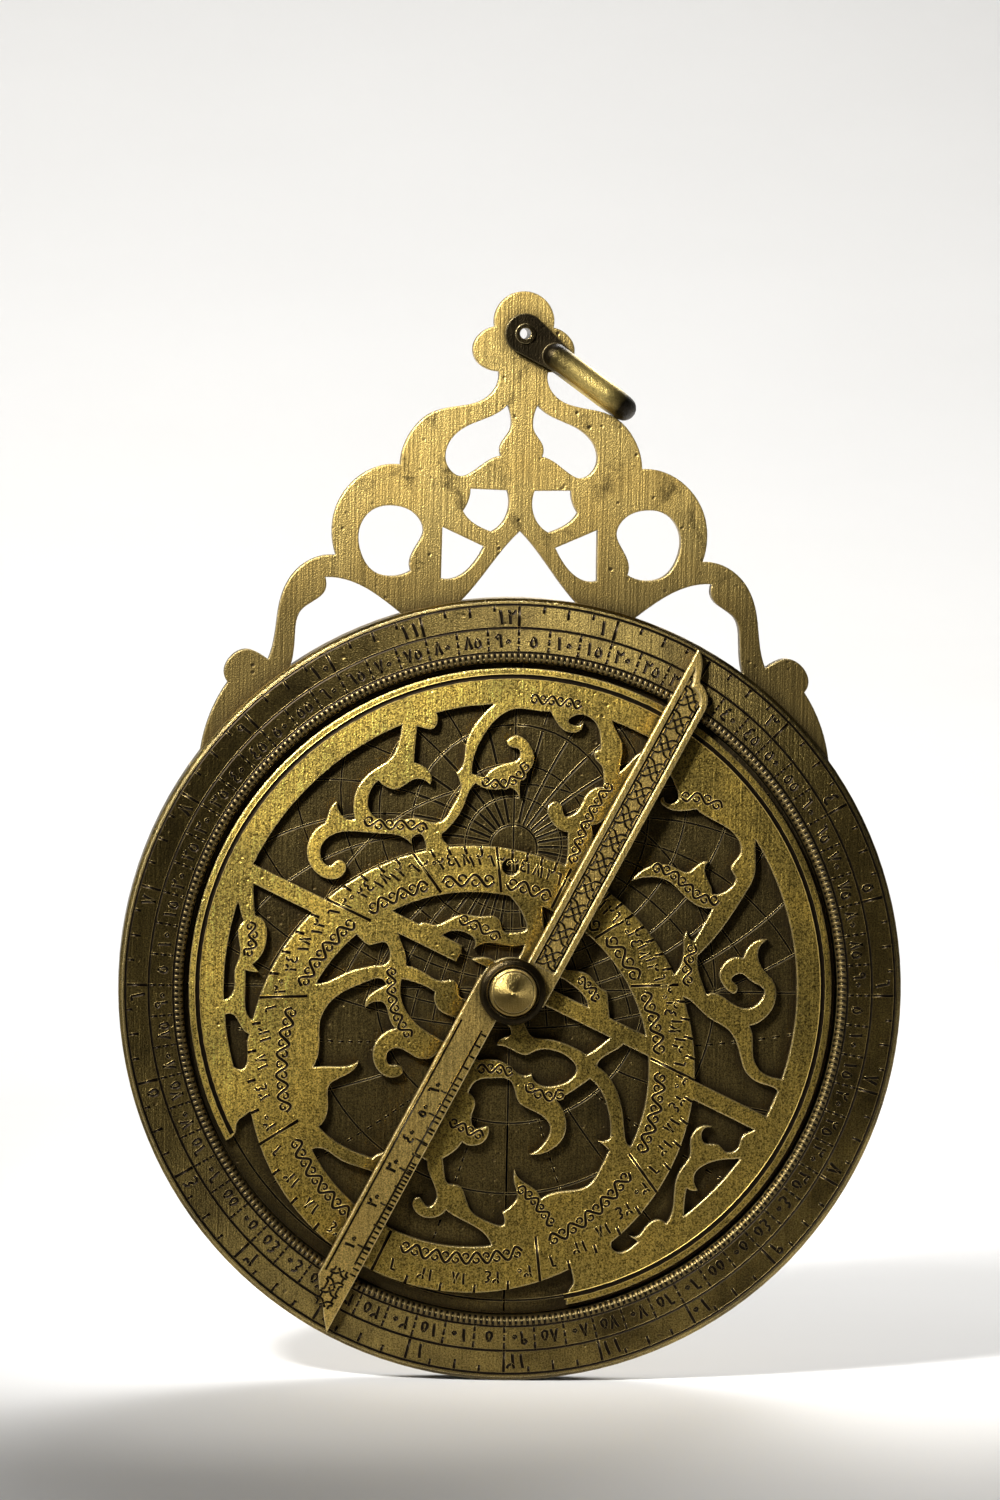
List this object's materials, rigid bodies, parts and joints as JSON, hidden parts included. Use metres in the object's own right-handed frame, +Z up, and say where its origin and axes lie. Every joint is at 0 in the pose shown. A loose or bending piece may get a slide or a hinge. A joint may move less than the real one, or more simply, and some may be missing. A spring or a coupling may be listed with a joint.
{
  "type": "planispheric astrolabe",
  "caption": "Brass planispheric astrolabe: an openwork star map and a rule turn over engraved plates in a scaled ring, with a sighting bar behind and a pierced throne and shackle above.",
  "frame": {"origin": "middle of the hollow rivet's bore at the top of the throne, in the throne's middle plane", "axes": "+Z up from the disc's centre to the throne's top, +X to the right of someone who faces the front, -Y out of the front, the side with the star map and the rule"},
  "size_m": [0.12, 0.0238, 0.1668],
  "materials": {
    "mater_brass": "old satin brass, brushed, with a brown patina",
    "limb_brass": "old brass with an olive brown patina, engraved scales",
    "throne_brass": "bright satin brass, brushed upright, pitted",
    "tympan_brass": "dark brown olive patina with glinting engraved lines",
    "rete_brass": "bright cast brass, fine grain, dark recesses",
    "rule_brass": "satin brass with dark engraving",
    "turned_brass": "turned brass, concentric tool marks",
    "dark_bronze": "blackened bronze",
    "shackle_bronze": "blackened brass, worn bright along the bow"
  },
  "bodies": {
    "mater": {"back_plate": "mater_brass", "limb": "limb_brass", "throne": "throne_brass", "throne_rivets": "mater_brass", "limb_rivets": "mater_brass", "tympan_stud": "mater_brass", "tympan_front": "tympan_brass", "tympan_middle": "tympan_brass", "tympan_rear": "tympan_brass", "centre_pin": "turned_brass", "pin_washer": "turned_brass", "collar": "dark_bronze", "nut": "turned_brass", "hollow_rivet": "dark_bronze"},
    "rete": {"rete": "rete_brass"},
    "rule": {"rule": "rule_brass", "rule_spacer": "turned_brass"},
    "alidade": {"alidade": "rule_brass", "sight_vane_upper": "rule_brass", "sight_vane_lower": "rule_brass"},
    "shackle": {"shackle": "shackle_bronze"}
  },
  "joints": [
    {"name": "rete_turn", "type": "hinge", "parent": "mater", "child": "rete", "pos_m": [0, 0, -0.1003], "axis": [0, 1, 0], "continuous": true},
    {"name": "rule_turn", "type": "hinge", "parent": "mater", "child": "rule", "pos_m": [0, 0, -0.1003], "axis": [0, 1, 0], "continuous": true},
    {"name": "alidade_turn", "type": "hinge", "parent": "mater", "child": "alidade", "pos_m": [0, 0, -0.1003], "axis": [0, 1, 0], "continuous": true},
    {"name": "shackle_swing", "type": "hinge", "parent": "mater", "child": "shackle", "pos_m": [0, 0, 0], "axis": [0, -1, 0], "range_deg": [0, 250.8]}
  ]
}
